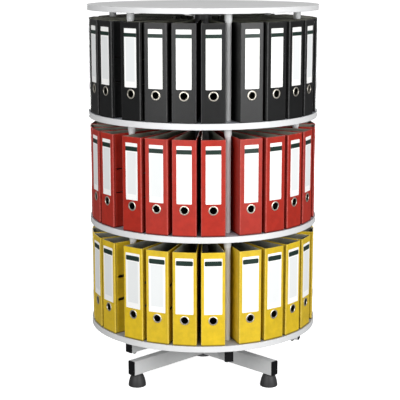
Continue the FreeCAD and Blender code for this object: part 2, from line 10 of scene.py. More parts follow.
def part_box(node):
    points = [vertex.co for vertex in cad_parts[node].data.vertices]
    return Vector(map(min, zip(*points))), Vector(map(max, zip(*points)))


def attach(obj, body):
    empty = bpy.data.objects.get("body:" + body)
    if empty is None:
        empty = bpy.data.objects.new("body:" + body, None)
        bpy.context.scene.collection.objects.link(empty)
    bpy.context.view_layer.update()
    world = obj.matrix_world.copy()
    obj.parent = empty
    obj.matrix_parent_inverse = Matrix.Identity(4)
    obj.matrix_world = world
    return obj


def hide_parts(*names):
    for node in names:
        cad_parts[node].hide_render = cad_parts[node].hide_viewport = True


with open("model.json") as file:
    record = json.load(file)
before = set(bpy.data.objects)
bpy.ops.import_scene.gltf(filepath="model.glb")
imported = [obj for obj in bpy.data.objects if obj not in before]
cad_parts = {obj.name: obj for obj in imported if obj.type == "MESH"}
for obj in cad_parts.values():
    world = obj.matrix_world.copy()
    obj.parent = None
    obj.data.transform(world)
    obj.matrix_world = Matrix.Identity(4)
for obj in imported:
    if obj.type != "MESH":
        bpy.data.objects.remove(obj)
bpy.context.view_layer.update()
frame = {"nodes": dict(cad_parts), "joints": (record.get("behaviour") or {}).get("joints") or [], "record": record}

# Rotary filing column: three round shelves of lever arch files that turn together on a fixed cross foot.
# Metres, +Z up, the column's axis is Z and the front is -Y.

NODES = frame["nodes"]
TIERS = ("lower", "middle", "upper")
PAPER = {"lower": "yellow", "middle": "red", "upper": "black"}

# ---- Where the files stand ----
SECTORS = 6
FILES_PER_SECTOR = 4
SECTOR_TURN = math.tau / SECTORS
FIRST_POST = math.radians(14.2 - 90)  # 14.2 degrees to the right of the front
POST_SPACE = math.radians(4.8)       # left free for a post between two groups of files
FILE_STEP = (SECTOR_TURN - POST_SPACE) / FILES_PER_SECTOR
FILE_FOOT = {tier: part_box(f"file_spines_{tier}")[0].z for tier in TIERS}

# ---- A lever arch file, standing with its spine at +X from the column's axis ----
SPINE_FACE = 0.394                   # from the column's axis
FILE_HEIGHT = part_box("pull_file_lower_spine")[1].z - FILE_FOOT["lower"]
HALF_SPINE = 0.040
SOLID_BOARD = 0.0025                 # a board of the solids
HINGE_GAP = 0.00015                  # between the solids' spine and covers
COVER_FRONT = (SPINE_FACE - SOLID_BOARD - HINGE_GAP, HALF_SPINE)      # a cover's ends, from above
COVER_REAR = (0.109, 0.0120)
BOARD = 0.0023                       # a board with its paper
FOLD_RADIUS = 0.0027
FOLD_STEPS = 5
RIM_SOFTNESS = 0.0005
GROOVE = ((0.0028, 0.0), (0.0038, 0.0009), (0.0064, 0.0009), (0.0074, 0.0))   # behind the fold, depth
BESIDE = 0.0012                      # keeps a flat board flat beside a fold
HAIR = 1e-5                          # two places closer than this are the same
SHARP = math.radians(25)             # an edge that bends further than this is drawn crisp
WRAP_MAP = "wrap"                    # metres round the case and up the file
TONE = "tone"                        # one shade a file
TONE_MIDDLE, TONE_SPREAD, TONE_SEED = 0.5, 0.05, 7

cover_run = Vector((COVER_REAR[0] - COVER_FRONT[0], COVER_REAR[1] - COVER_FRONT[1], 0)).normalized()
cover_out = Vector((cover_run.y, -cover_run.x, 0))
COVER_SLOPE = math.atan2(-cover_run.y, -cover_run.x)

# ---- Its finger ring, and the slots in its front cover. A hole is cut from a rectangular cell ----
RING_LEVEL = 0.087
RING_BORE = 0.0117
RING_HOLE = RING_BORE + 0.0012       # in the spine, round the ring's sleeve
RING_EDGE = 0.0160
RING_CELL = 0.016                    # half the side of its cell
RING_CUTS = 5                        # in each side of the cell
RING_SIDES = 24
SLOT_START, SLOT_END = 0.0094, 0.0450  # behind the fold
SLOT_RADIUS = {"lower": 0.0050, "middle": 0.0018, "upper": 0.0018}
SLOT_REST = 0.002                    # from a slot's end to its cell's edge
SLOT_CELL = 0.006                    # half the height of its cell
SLOT_CUTS = 3

# ---- Its label: a dark band below a white strip, and a tinted field ----
LABEL_WIDTH = {"lower": 0.060, "middle": 0.050, "upper": 0.050}
LABEL_FOOT, LABEL_TOP = (corner.z - FILE_FOOT["lower"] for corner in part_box("pull_file_lower_label"))
LABEL_THICKNESS = 0.0004
LABEL_CORNER = 0.002
LABEL_BAND = {                       # strip above, band's height, margin beside it, radius of its corners
    "lower": (0.0085, 0.0165, 0.0015, 0.0040),
    "middle": (0.0120, 0.0150, 0.0, 0.0003),
    "upper": (0.0150, 0.0125, 0.0, 0.0003)}
BAND_EDGE = 0.0001                   # half the softness of the band's edge
FIELD_WIDTH = 0.68                   # share of the label's width
FIELD_ABOVE, FIELD_BELOW = 0.004, 0.020
FIELD_EDGE, FIELD_SIDE = 0.001, 0.003  # softness at its top and foot, and at its sides
LABEL_MAP = "print"                  # metres from the label's middle and down from its top

# ---- Its lever mechanism: Z up, Y away from the rear cover, X towards the spine from the plate's edge ----
LEVER_INSET = 0.014                  # plate's edge behind the spine board
PLATE_DEPTH, PLATE_THICKNESS, PLATE_HEIGHT = 0.040, 0.0015, 0.130
ARCH_PITCH = 0.080
ARCH_RADIUS = 0.017
ARCH_FOOT = 0.0012                   # where an arch starts, inside the plate
ARCH_STEPS = 12
WIRE_RADIUS = 0.0015
WIRE_SIDES = 8
RIVET_FOOT, RIVET_HEAD, RIVET_HEIGHT = 0.0032, 0.0020, 0.0012      # two radii and a length
RIVET_IN, RIVET_DOWN = 0.006, 0.007  # from the plate's edges
RIVET_SIDES, ROLLER_SIDES = 10, 12
GRIP = ((0.007, -0.030), (0.007, 0.022), (0.004, 0.029))   # half the wire lever: beside its middle, up
GRIP_LIFT, GRIP_RADIUS = 0.0022, 0.0011
ROLLER_RADIUS, ROLLER_LENGTH = 0.0021, 0.016
ROLLER_LIFT, ROLLER_LEVEL = 0.0034, -0.028

# ---- A glide's bell: radius = neck + (foot - neck) * (1 - level ** shoulder) ** waist, level 0 to 1 ----
GLIDE_NECK = 0.0185                  # radius under the arm
GLIDE_SHOULDER, GLIDE_WAIST = 1.6, 0.8
GLIDE_LIP = 0.0015                   # rounding at the floor
GLIDE_STEPS, GLIDE_SIDES = 10, 36
STEM_GAP = 0.0002                    # between the stem and its hole

# ---- Wear, painted highlight and painted shade on the files' paper: how far each reaches, from nothing to its full strength ----
FOLD_WEAR_AND_HIGHLIGHT = (0.0042, 0.0006)         # from a fold: wear and a painted highlight
GROOVE_SHADE = (0.0040, 0.0012)      # from a groove's middle
FOOT_SHADOW = (0.0065, 0.002)              # up the file: a painted shadow along the foot
HEAD_WEAR = 0.006                    # below the file's top

# ---- Studio ----
SOFT_BOX_AWAY = 5.0                  # from the column's axis
SOFT_BOXES = (                       # name, degrees to the camera's right, level, width, height, watts
    ("soft_box_right", 39, 2.0, 3.7, 3.2, 262.0),
    ("soft_box_left", -31, 2.0, 2.7, 3.2, 178.0),
    ("soft_box_back", 180, 0.65, 4.0, 1.1, 120.0))
FILL, WALL, CEILING = 0.15, 0.45, 0.60                 # dim room in front, pale wall behind and above
WALL_FADE, CEILING_FADE = (-0.1, 0.8), (0.3, 0.8)      # where they set in, as sines of the direction
FLOOR_SIZE = 80.0
FLOOR_LIFT = 0.85                    # a paper sweep lit to white
FLOOR_BOUNCE = 0.20

# ---- Camera: in front, looking along +Y and down ----
EYE = (0, -4.2, 1.45)
PITCH = math.radians(-11.30)         # from level
LENS, SENSOR = 108.1, 36.0           # millimetres
SIDE_SHIFT = -0.0075
FAR_CLIP = 300.0


# ---- Shader helpers ----

def node(tree, kind, inputs=None, **settings):
    """Adds a shader node. An input is a value, or another node's output to link to."""
    made = tree.nodes.new("ShaderNode" + kind)
    for name, value in settings.items():
        setattr(made, name, value)
    for name, value in (inputs or {}).items():
        if isinstance(value, bpy.types.NodeSocket):
            tree.links.new(value, made.inputs[name])
        else:
            made.inputs[name].default_value = value
    return made


def calc(tree, operation, *values):
    return node(tree, "Math", dict(enumerate(values)), operation=operation).outputs[0]


def plus(tree, first, second):
    return calc(tree, "ADD", first, second)


def minus(tree, first, second):
    return calc(tree, "SUBTRACT", first, second)


def times(tree, first, second):
    return calc(tree, "MULTIPLY", first, second)


def distance(tree, value, middle=0.0):
    """How far a value is from a middle, on either side of it."""
    return calc(tree, "ABSOLUTE", minus(tree, value, middle) if middle else value)


def ramp(tree, value, start, end, low=0.0, high=1.0):
    """Eases from low to high as the value goes from start to end."""
    inputs = {"Value": value, "From Min": start, "From Max": end, "To Min": low, "To Max": high}
    return node(tree, "MapRange", inputs, interpolation_type="SMOOTHSTEP").outputs[0]


def opaque(colour):
    return (*colour, 1)


def mix(tree, factor, first, second):
    return node(tree, "Mix", {0: factor, 6: first, 7: second}, data_type="RGBA").outputs[2]


def shaded(tree, colour, shade):
    """A colour with its brightness scaled."""
    return node(tree, "VectorMath", {0: colour, "Scale": shade}, operation="SCALE").outputs[0]


def noise(tree, scale, detail=2.0, roughness=0.5, stretch=(1, 1, 1)):
    """Noise on the object's own metres; stretch draws it out along an axis."""
    place = node(tree, "TexCoord").outputs["Object"]
    place = node(tree, "Mapping", {"Vector": place, "Scale": stretch}).outputs[0]
    inputs = {"Vector": place, "Scale": scale, "Detail": detail, "Roughness": roughness}
    return node(tree, "TexNoise", inputs).outputs["Fac"]


def clouds(tree, scale):
    """Soft patches, from -1 to 1."""
    return ramp(tree, noise(tree, scale, 3, 0.6), 0.3, 0.7, -1.0, 1.0)


def effect(name, inputs, outputs):
    """A node group with named inputs and outputs, and its two end nodes."""
    group = bpy.data.node_groups.new(name, "ShaderNodeTree")
    for label, kind, value in inputs:
        socket = group.interface.new_socket(label, in_out="INPUT", socket_type="NodeSocket" + kind)
        socket.default_value = value
    for label, kind in outputs:
        group.interface.new_socket(label, in_out="OUTPUT", socket_type="NodeSocket" + kind)
    return group, group.nodes.new("NodeGroupInput").outputs, group.nodes.new("NodeGroupOutput")


def use(tree, group, **inputs):
    """Places an effect in a material, with its own values."""
    named = {name.replace("_", " "): value for name, value in inputs.items()}
    return node(tree, "Group", named, node_tree=group).outputs


def finish(name, metallic=0.0, specular=0.5):
    """A material with one Principled shader, and the tree it stands in."""
    material = bpy.data.materials.new(name)
    material.use_nodes = True
    tree = material.node_tree
    shader = tree.nodes["Principled BSDF"]
    shader.inputs["Metallic"].default_value = metallic
    shader.inputs["Specular IOR Level"].default_value = specular
    return material, tree, shader.inputs


def bump(tree, height, depth, strength=1.0):
    return node(tree, "Bump", {"Height": height, "Distance": depth, "Strength": strength}).outputs[0]


# ---- Effects that several finishes share ----

def board_paper_effect():
    """Embossed paper over board: pale folds (wear and a painted highlight), a painted shadow along the foot,
    painted shade in the grooves, cloudy shade and a fine grain.
    """
    group, given, result = effect(
        "board_paper",
        [("Colour", "Color", (0.5, 0.5, 0.5, 1)), ("Fold Colour", "Color", (0.8, 0.8, 0.8, 1)),
         ("Fold Wear", "Float", 0.5), ("Cloud", "Float", 0.1), ("Sheen Rough", "Float", 0.45)],
        [("Colour", "Color"), ("Roughness", "Float"), ("Height", "Float")])
    place = node(group, "UVMap", uv_map=WRAP_MAP).outputs[0]
    place = node(group, "SeparateXYZ", {0: place}).outputs
    across = distance(group, place["X"])
    height = place["Y"]
    # How near a point is to a fold, to a groove and to the case's top and foot
    fold = ramp(group, distance(group, across, HALF_SPINE), *FOLD_WEAR_AND_HIGHLIGHT)
    groove_middle = HALF_SPINE + (GROOVE[1][0] + GROOVE[2][0]) / 2
    groove = ramp(group, distance(group, across, groove_middle), *GROOVE_SHADE)
    foot_shadow = ramp(group, height, *FOOT_SHADOW)
    head = ramp(group, height, FILE_HEIGHT - HEAD_WEAR, FILE_HEIGHT)
    # Pale all along a fold, as wear and as a painted highlight, and where worn in scuffs at folds and head
    scuff = ramp(group, noise(group, 160, 4, 0.7), 0.42, 0.66)
    rubbed = times(group, calc(group, "MAXIMUM", head, fold), scuff)
    wear_and_highlight = times(group, plus(group, times(group, fold, 0.7), rubbed), given["Fold Wear"])
    wear_and_highlight = calc(group, "MINIMUM", wear_and_highlight, 1.0)
    # Cloudy shade, one shade a file, painted shade in the groove and a painted shadow along the foot
    cloud = times(group, clouds(group, 38), given["Cloud"])
    tone = node(group, "Attribute", attribute_name=TONE).outputs["Fac"]
    shade = plus(group, plus(group, cloud, 1.0), minus(group, tone, TONE_MIDDLE))
    # Painted shade: up to 35 percent darker in the groove behind each fold
    shade = times(group, shade, minus(group, 1.0, times(group, groove, 0.35)))
    colour = mix(group, wear_and_highlight, shaded(group, given["Colour"], shade), given["Fold Colour"])
    # Painted shadow: up to 70 percent darker at the foot, where the file stands on the shelf
    colour = shaded(group, colour, minus(group, 1.0, times(group, foot_shadow, 0.7)))
    # The embossed grain
    grain = noise(group, 620, 3, 0.65)
    pebble = node(group, "TexVoronoi", {"Vector": node(group, "TexCoord").outputs["Object"], "Scale": 420.0})
    relief = plus(group, grain, times(group, pebble.outputs["Distance"], 0.5))
    rough = plus(group, given["Sheen Rough"], times(group, grain, 0.12))
    group.links.new(colour, result.inputs["Colour"])
    group.links.new(rough, result.inputs["Roughness"])
    group.links.new(relief, result.inputs["Height"])
    return group


def mottle_effect():
    """Slow cloudy shade over a colour, and a fine relief for the Bump node."""
    group, given, result = effect(
        "mottle",
        [("Colour", "Color", (0.5, 0.5, 0.5, 1)), ("Cloud", "Float", 0.05), ("Roughness", "Float", 0.4)],
        [("Colour", "Color"), ("Roughness", "Float"), ("Height", "Float")])
    shade = plus(group, times(group, clouds(group, 14), given["Cloud"]), 1.0)
    fine = noise(group, 900, 2, 0.5)
    rough = plus(group, given["Roughness"], times(group, fine, 0.10))
    group.links.new(shaded(group, given["Colour"], shade), result.inputs["Colour"])
    group.links.new(rough, result.inputs["Roughness"])
    group.links.new(fine, result.inputs["Height"])
    return group


BOARD_PAPER = board_paper_effect()
MOTTLE = mottle_effect()


# ---- Finishes ----

def board_paper(name, colour, fold_colour, cloud, rough, specular):
    material, tree, shader = finish(name, specular=specular)
    out = use(tree, BOARD_PAPER, Colour=opaque(colour), Fold_Colour=opaque(fold_colour), Fold_Wear=0.55,
              Cloud=cloud, Sheen_Rough=rough)
    tree.links.new(out["Colour"], shader["Base Color"])
    tree.links.new(out["Roughness"], shader["Roughness"])
    tree.links.new(bump(tree, out["Height"], 0.0002, 0.5), shader["Normal"])
    return material


def coated(name, colour, rough, cloud=0.03, relief=0.00005, specular=0.5):
    """Powder coat, laminate or moulded plastic: a mottled colour with a fine relief."""
    material, tree, shader = finish(name, specular=specular)
    out = use(tree, MOTTLE, Colour=opaque(colour), Cloud=cloud, Roughness=rough)
    tree.links.new(out["Colour"], shader["Base Color"])
    tree.links.new(out["Roughness"], shader["Roughness"])
    tree.links.new(bump(tree, out["Height"], relief), shader["Normal"])
    return material


def brushed(name, colour, rough, stretch):
    """Metal with fine drawn marks."""
    material, tree, shader = finish(name, metallic=1.0)
    marks = noise(tree, 700, 3, 0.6, stretch)
    cloud = noise(tree, 30, 2)
    dull = [channel * 0.82 for channel in colour]
    tree.links.new(mix(tree, cloud, opaque(dull), opaque(colour)), shader["Base Color"])
    tree.links.new(ramp(tree, marks, 0.25, 0.75, rough * 0.8, rough * 1.3), shader["Roughness"])
    tree.links.new(bump(tree, marks, 0.00004), shader["Normal"])
    return material


def label_print(name, width, strip, band, margin, rounding):
    """A paper label: a dark band below a white strip, and an empty field in a slightly darker tint."""
    material, tree, shader = finish(name, specular=0.3)
    place = node(tree, "SeparateXYZ", {0: node(tree, "UVMap", uv_map=LABEL_MAP).outputs[0]}).outputs
    beside, down = distance(tree, place["X"]), place["Y"]
    # The band: how far a point lies outside the rectangle of its corners' centres
    past_side = calc(tree, "MAXIMUM", minus(tree, beside, width / 2 - margin - rounding), 0.0)
    past_edge = minus(tree, distance(tree, down, strip + band / 2), band / 2 - rounding)
    past_edge = calc(tree, "MAXIMUM", past_edge, 0.0)
    away = plus(tree, times(tree, past_side, past_side), times(tree, past_edge, past_edge))
    inked = ramp(tree, calc(tree, "SQRT", away), rounding + BAND_EDGE, rounding - BAND_EDGE)
    # The field
    side = FIELD_WIDTH * width / 2
    top, foot = strip + band + FIELD_ABOVE, LABEL_TOP - LABEL_FOOT - FIELD_BELOW
    field = ramp(tree, beside, side + FIELD_SIDE, side)
    field = times(tree, field, ramp(tree, down, top - FIELD_EDGE, top))
    field = times(tree, field, ramp(tree, down, foot + FIELD_EDGE, foot))
    fibre = noise(tree, 900, 4, 0.7)
    paper = mix(tree, fibre, (0.84, 0.84, 0.82, 1), (0.93, 0.93, 0.92, 1))
    tint = mix(tree, fibre, (0.71, 0.73, 0.73, 1), (0.78, 0.80, 0.80, 1))
    ink = mix(tree, noise(tree, 60, 3), (0.004, 0.014, 0.010, 1), (0.010, 0.032, 0.023, 1))
    tree.links.new(mix(tree, inked, mix(tree, field, paper, tint), ink), shader["Base Color"])
    tree.links.new(minus(tree, 0.62, times(tree, inked, 0.2)), shader["Roughness"])
    tree.links.new(bump(tree, fibre, 0.00003), shader["Normal"])
    return material


FINISHES = {
    "tube_grey": coated("tube_coat", (0.64, 0.645, 0.645), 0.50, 0.04, 0.00008),
    "post_grey": coated("post_coat", (0.57, 0.575, 0.575), 0.30, 0.03, 0.00006),
    "collar_white": coated("collar_plastic", (0.66, 0.67, 0.67), 0.35),
    "cap_black": coated("cap_plastic", (0.006, 0.006, 0.007), 0.45, 0.10, specular=0.12),
    "glide_black": coated("glide_rubber", (0.034, 0.034, 0.035), 0.42, 0.12, 0.0001, specular=0.25),
    "hub_dark": coated("hub_paint", (0.10, 0.10, 0.105), 0.40, 0.06),
    "zinc_steel": brushed("zinc_steel", (0.60, 0.60, 0.57), 0.38, (1, 1, 0.05)),
    "bright_steel": brushed("bright_steel", (0.56, 0.56, 0.57), 0.22, (1, 1, 0.05)),
    "ball_chrome": brushed("ball_chrome", (0.80, 0.80, 0.80), 0.10, (1, 1, 1)),
    "finger_ring_metal": brushed("ring_nickel", (0.72, 0.68, 0.59), 0.42, (1, 1, 1)),
    "lever_steel": brushed("lever_nickel", (0.72, 0.72, 0.72), 0.25, (1, 1, 0.1)),
    "cage_plastic": coated("cage_plastic", (0.70, 0.66, 0.55), 0.5),
    "edge_white": coated("edge_strip", (0.66, 0.665, 0.67), 0.38, 0.02),
    # Painted shade: the shelves' laminate is a darker, bluer grey than the edge strips and the top, for the shade
    # between the files
    "shelf_white": coated("shelf_laminate_painted_shade", (0.36, 0.38, 0.42), 0.42, 0.03, 0.00008),
    "top_grey": coated("top_laminate", (0.78, 0.785, 0.785), 0.42, 0.03, 0.00008),
    "file_black": board_paper("black_paper", (0.0065, 0.0067, 0.0070), (0.055,) * 3, 0.10, 0.29, 0.34),
    "file_red": board_paper("red_paper", (0.36, 0.020, 0.010), (0.50, 0.10, 0.085), 0.10, 0.32, 0.32),
    "file_yellow": board_paper("yellow_paper", (0.62, 0.425, 0.012), (0.74, 0.56, 0.10), 0.08, 0.34, 0.44),
}
LINING = coated("lining_paper", (0.25, 0.25, 0.205), 0.6, 0.25, 0.00006, specular=0.2)
PAINTED_SHADE_NODES = {"core_tubes": "hub_dark"}      # painted shade: nodes between the files take a darker finish than their slot's
LABELS = {tier: label_print(f"label_of_{PAPER[tier]}", LABEL_WIDTH[tier], *LABEL_BAND[tier])
          for tier in reversed(TIERS)}


# ---- Mesh helpers ----

def to_mesh(bm, name):
    mesh = bpy.data.meshes.new(name)
    bm.to_mesh(mesh)
    bm.free()
    return mesh


def finished(mesh, *modifiers):
    """The mesh with modifiers applied, each given as (type, settings)."""
    bench = bpy.data.objects.new("bench", mesh)
    bpy.context.scene.collection.objects.link(bench)
    for kind, settings in modifiers:
        modifier = bench.modifiers.new(kind.lower(), kind)
        for name, value in settings.items():
            setattr(modifier, name, value)
    made = bpy.data.meshes.new_from_object(bench.evaluated_get(bpy.context.evaluated_depsgraph_get()))
    bpy.data.objects.remove(bench)
    return made


def outward(bm):
    bmesh.ops.recalc_face_normals(bm, faces=bm.faces[:])


def pushed(bm, edges):
    """Extrudes edges, and gives the new vertices and the edges between them, for the caller to move."""
    grown = bmesh.ops.extrude_edge_only(bm, edges=edges)["geom"]
    verts = [item for item in grown if isinstance(item, bmesh.types.BMVert)]
    ends = [item for item in grown if isinstance(item, bmesh.types.BMEdge)
            and item.verts[0] in verts and item.verts[1] in verts]
    return verts, ends


def add_wire(bm, points, radius):
    """A round wire along a few straight runs: one ring of vertices, pushed from bend to bend."""
    runs = [(b - a).normalized() for a, b in zip(points, points[1:])]
    bends = [runs[0]] + [(a + b).normalized() for a, b in zip(runs, runs[1:])] + [runs[-1]]
    ring = bmesh.ops.create_circle(bm, segments=WIRE_SIDES, radius=radius)["verts"]
    turn = bends[0].to_track_quat("Z", "Y").to_matrix().to_4x4()
    bmesh.ops.transform(bm, matrix=Matrix.Translation(points[0]) @ turn, verts=ring)
    bmesh.ops.contextual_create(bm, geom=ring)
    edges = list({edge for vert in ring for edge in vert.link_edges})
    for run, end, bend in zip(runs, points[1:], bends[1:]):
        ring, edges = pushed(bm, edges)
        for vert in ring:                # slides along the run until it meets the bend's own plane
            vert.co += run * ((end - vert.co).dot(bend) / run.dot(bend))
    bmesh.ops.contextual_create(bm, geom=ring)


def add_rod(bm, place, axis, turn, start_radius, end_radius, length, sides):
    """A round rod or cone about a place, laid over by a turn about an axis."""
    lie = Matrix.Translation(place) @ Matrix.Rotation(turn, 4, axis)
    bmesh.ops.create_cone(bm, cap_ends=True, segments=sides, radius1=start_radius, radius2=end_radius,
                          depth=length, matrix=lie)


def show(name, mesh, body, materials, stands_for):
    """Puts a finished mesh in the scene as a piece that rides on a body."""
    mesh.name = name
    mesh.polygons.foreach_set("use_smooth", [True] * len(mesh.polygons))
    mesh.set_sharp_from_angle(angle=SHARP)
    piece = bpy.data.objects.new(name, mesh)
    bpy.context.scene.collection.objects.link(piece)
    for material in materials:
        piece.data.materials.append(material)
    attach(piece, body)
    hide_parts(*stands_for)


# ---- The files' pieces, each made once at +X ----

def half_outline():
    """Half of a case seen from above: from the spine's middle, round the fold, to the cover's rear edge."""
    corner = Vector((*COVER_FRONT, 0))
    middle_x = SPINE_FACE - FOLD_RADIUS
    reach = cover_out.dot(corner) - FOLD_RADIUS
    middle = Vector((middle_x, (reach - cover_out.x * middle_x) / cover_out.y, 0))
    points = [Vector((SPINE_FACE, RING_CELL, 0)), Vector((SPINE_FACE, middle.y - BESIDE, 0))]
    full_turn = math.pi / 2 + COVER_SLOPE
    for step in range(FOLD_STEPS + 1):
        turn = full_turn * step / FOLD_STEPS
        points.append(middle + FOLD_RADIUS * Vector((math.cos(turn), math.sin(turn), 0)))
    fold_end = points[-1]
    for behind, depth in ((GROOVE[0][0] - BESIDE, 0.0), *GROOVE, (GROOVE[-1][0] + BESIDE, 0.0)):
        points.append(fold_end + cover_run * behind - cover_out * depth)
    points += [fold_end + cover_run * SLOT_START, fold_end + cover_run * SLOT_END]
    points.append(Vector((*COVER_REAR, 0)))
    return points


def pierce(bm, cell, radius, stretch, cuts):
    """Opens a round hole, or a slot with round ends, in one rectangular face of an upright sheet."""
    up = Vector((0, 0, 1))
    centre, along = cell.calc_center_median(), up.cross(cell.normal)
    half_wide = max((vert.co - centre).dot(along) for vert in cell.verts)
    half_high = max((vert.co - centre).dot(up) for vert in cell.verts)
    near = math.hypot(half_wide, half_high) + HAIR

    def border():
        return [e for e in bm.edges if e.is_boundary and max((v.co - centre).length for v in e.verts) < near]

    bmesh.ops.delete(bm, geom=[cell], context="FACES_ONLY")
    bmesh.ops.subdivide_edges(bm, edges=border(), cuts=cuts)
    rim, _ = pushed(bm, border())
    straight = 0.5 if stretch else 0.0   # how much of the cell's width has the slot's straight sides
    for vert in rim:
        wide = (vert.co - centre).dot(along) / half_wide
        high = (vert.co - centre).dot(up) / half_high
        bent = math.copysign(max(abs(wide) - straight, 0.0), wide)
        turn = math.atan2(high * (1 - straight), bent)
        run = stretch * max(-1.0, min(1.0, wide / straight)) if stretch else 0.0
        vert.co = centre + along * (run + radius * math.cos(turn)) + up * radius * math.sin(turn)


def is_at(face, **place):
    """Whether a face's middle has the given coordinates."""
    middle = face.calc_center_median()
    return all(abs(getattr(middle, axis) - value) < HAIR for axis, value in place.items())


def case_sheet(half):
    """A case's outer face as one open sheet: spine, folds, grooves and two covers, with the finger hole."""
    bm = bmesh.new()
    outline = [Vector((p.x, -p.y, 0)) for p in reversed(half)] + half
    verts = [bm.verts.new(point) for point in outline]
    edges = [bm.edges.new(pair) for pair in zip(verts, verts[1:])]
    below = 0.0
    for level in (RING_LEVEL - RING_CELL, RING_LEVEL + RING_CELL, FILE_HEIGHT):
        top, edges = pushed(bm, edges)
        bmesh.ops.translate(bm, vec=(0, 0, level - below), verts=top)
        below = level
    outward(bm)
    bm.normal_update()
    # An open sheet has no outside of its own: the spine has to look along +X
    if max(bm.faces, key=lambda face: face.calc_center_median().x).normal.x < 0:
        bmesh.ops.reverse_faces(bm, faces=bm.faces[:])
    cell = next(f for f in bm.faces if is_at(f, y=0.0, z=RING_LEVEL))
    pierce(bm, cell, RING_HOLE, 0.0, RING_CUTS)
    return bm


def cut_slot(bm, x, level, radius):
    """One slot of the front cover, where an arch's end shows, in the cover's strip about x."""
    for cut in (level - SLOT_CELL, level + SLOT_CELL):
        strip = [f for f in bm.faces if is_at(f, x=x) and f.calc_center_median().y > 0]
        geometry = list({item for f in strip for item in (f, *f.edges, *f.verts)})
        bmesh.ops.bisect_plane(bm, geom=geometry, dist=HAIR, plane_co=(0, 0, cut), plane_no=(0, 0, 1))
    bm.normal_update()
    cell = next(f for f in bm.faces if is_at(f, x=x, z=level) and f.calc_center_median().y > 0)
    pierce(bm, cell, radius, (SLOT_END - SLOT_START) / 2 - radius - SLOT_REST, SLOT_CUTS)


def map_wrap(mesh):
    """Gives a case its wrap map: across the spine and back along the covers, and up the file."""
    uv = mesh.uv_layers.new(name=WRAP_MAP)
    for loop in mesh.loops:
        at = mesh.vertices[loop.vertex_index].co
        behind = max(SPINE_FACE - at.x - FOLD_RADIUS, 0.0)
        across = at.y if behind == 0 else math.copysign(HALF_SPINE + behind, at.y)
        uv.data[loop.index].uv = (across, at.z)


def file_case(slot_radius):
    """One case: a sheet with two slots, made as thick as its board, with paper outside and lining inside."""
    half = half_outline()
    bm = case_sheet(half)
    slot_x = (half[-2].x + half[-3].x) / 2
    for side in (-1, 1):
        cut_slot(bm, slot_x, FILE_HEIGHT / 2 + side * ARCH_PITCH / 2, slot_radius)
    sheet = to_mesh(bm, "case_sheet")
    for _ in ("paper", "lining"):        # Solidify puts the second of two slots inside
        sheet.materials.append(None)
    thick = {"thickness": BOARD, "offset": -1.0, "use_even_offset": True, "material_offset": 1}
    soft = {"width": RIM_SOFTNESS, "segments": 1, "limit_method": "ANGLE", "angle_limit": math.radians(60)}
    mesh = finished(sheet, ("SOLIDIFY", thick), ("BEVEL", soft))
    map_wrap(mesh)
    return mesh


def finger_ring():
    """Pressed ring: a rolled flange outside, and a sleeve through the spine."""
    bm = bmesh.new()
    profile = [(RING_BORE, -BOARD), (RING_BORE, 0.0004), (0.0124, 0.0011), (0.0138, 0.0012), (0.0151, 0.0008),
               (RING_EDGE, 0.0), (RING_HOLE, 0.0), (RING_HOLE, -BOARD)]
    verts = [bm.verts.new((SPINE_FACE + out, 0, RING_LEVEL + radius)) for radius, out in profile]
    edges = [bm.edges.new(pair) for pair in zip(verts, verts[1:] + verts[:1])]
    bmesh.ops.spin(bm, geom=verts + edges, cent=(SPINE_FACE, 0, RING_LEVEL), axis=(1, 0, 0), angle=math.tau,
                   steps=RING_SIDES, use_merge=True)
    outward(bm)
    return to_mesh(bm, "finger_ring")


def spine_label(width):
    """A paper label with rounded corners."""
    bm = bmesh.new()
    made = bmesh.ops.create_cube(bm, size=1.0)["verts"]
    bmesh.ops.scale(bm, vec=(LABEL_THICKNESS, width, LABEL_TOP - LABEL_FOOT), verts=made)
    centre = (SPINE_FACE + LABEL_THICKNESS / 2, 0, (LABEL_TOP + LABEL_FOOT) / 2)
    bmesh.ops.translate(bm, vec=centre, verts=made)
    corners = [e for e in bm.edges if abs(e.verts[0].co.x - e.verts[1].co.x) > LABEL_THICKNESS / 2]
    bmesh.ops.bevel(bm, geom=corners, offset=LABEL_CORNER, affect="EDGES", segments=4, profile=0.5,
                    material=-1)
    outward(bm)
    mesh = to_mesh(bm, "spine_label")
    uv = mesh.uv_layers.new(name=LABEL_MAP)
    for loop in mesh.loops:
        at = mesh.vertices[loop.vertex_index].co
        uv.data[loop.index].uv = (at.y, LABEL_TOP - at.z)
    return mesh


